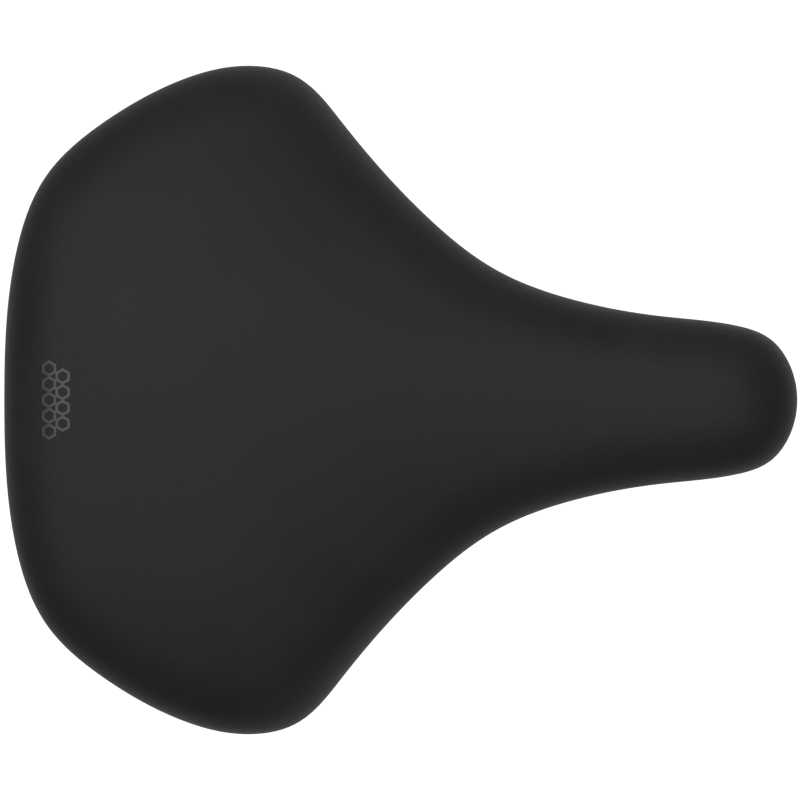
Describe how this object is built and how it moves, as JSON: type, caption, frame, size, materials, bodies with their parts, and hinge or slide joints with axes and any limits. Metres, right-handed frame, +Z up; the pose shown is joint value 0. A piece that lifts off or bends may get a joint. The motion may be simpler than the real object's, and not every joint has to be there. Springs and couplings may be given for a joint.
{
  "type": "bicycle saddle",
  "caption": "Wide crowned comfort saddle with a narrow nose, on a bent wire rail frame with coil springs under the rear and a clamp for a seat pillar.",
  "frame": {"origin": "on the seat pillar's axis, at mid height of the clamp collar's bore", "axes": "+X to the saddle's nose, +Y to the rider's left, +Z up; the pillar leaves the collar along -Z"},
  "size_m": [0.256, 0.216, 0.126],
  "materials": {
    "cover_vinyl": "matte, fine grain",
    "seat_foam": "moulded polyurethane foam skin",
    "gel": "soft translucent gel",
    "shell_nylon": "moulded, fine spark texture",
    "cup_nylon": "moulded, smooth",
    "rail_steel": "black electrophoretic paint, satin",
    "bridge_steel": "black powder coat",
    "spring_steel": "bright nickel plate",
    "clamp_steel": "zinc plate",
    "fastener_steel": "zinc plate"
  },
  "bodies": {
    "post_clamp": {"clamp_collar": "clamp_steel"},
    "rail_cradle": {"inner_cheek_left": "clamp_steel", "inner_cheek_right": "clamp_steel", "outer_cheek_left": "clamp_steel", "outer_cheek_right": "clamp_steel", "clamp_bolt": "fastener_steel", "clamp_washer_left": "fastener_steel", "clamp_washer_right": "fastener_steel", "clamp_nut_left": "fastener_steel", "clamp_nut_right": "fastener_steel"},
    "rail_frame": {"rail_wire": "rail_steel", "rear_bridge": "bridge_steel", "rail_clip_left": "bridge_steel", "rail_clip_right": "bridge_steel", "bridge_rivets": "fastener_steel", "spring_cup_left": "cup_nylon", "spring_cup_right": "cup_nylon", "spring_left": "spring_steel", "spring_right": "spring_steel"},
    "seat": {"cover": "cover_vinyl", "foam_pad": "seat_foam", "gel_pad_left": "gel", "gel_pad_right": "gel", "base_shell": "shell_nylon", "cover_staples": "fastener_steel", "nose_clip": "shell_nylon", "nose_clip_screws": "fastener_steel", "guide_bolt_left": "fastener_steel", "guide_bolt_right": "fastener_steel", "guide_nut_left": "fastener_steel", "guide_nut_right": "fastener_steel", "guide_washer_left": "fastener_steel", "guide_washer_right": "fastener_steel"}
  },
  "joints": [
    {"name": "seat_tilt", "type": "hinge", "parent": "post_clamp", "child": "rail_cradle", "pos_m": [-0.022, 0, 0], "axis": [0, 1, 0], "range_deg": [-15, 15]},
    {"name": "fore_aft", "type": "slide", "parent": "rail_cradle", "child": "rail_frame", "axis": [1, 0, 0], "range_m": [-0.013, 0.013]},
    {"name": "seat_flex", "type": "hinge", "parent": "rail_frame", "child": "seat", "pos_m": [0.08, 0, 0.04], "axis": [0, -1, 0], "range_deg": [0, 5], "stiffness_Nm_per_rad": 1400, "deforming": ["spring_left", "spring_right"]}
  ]
}
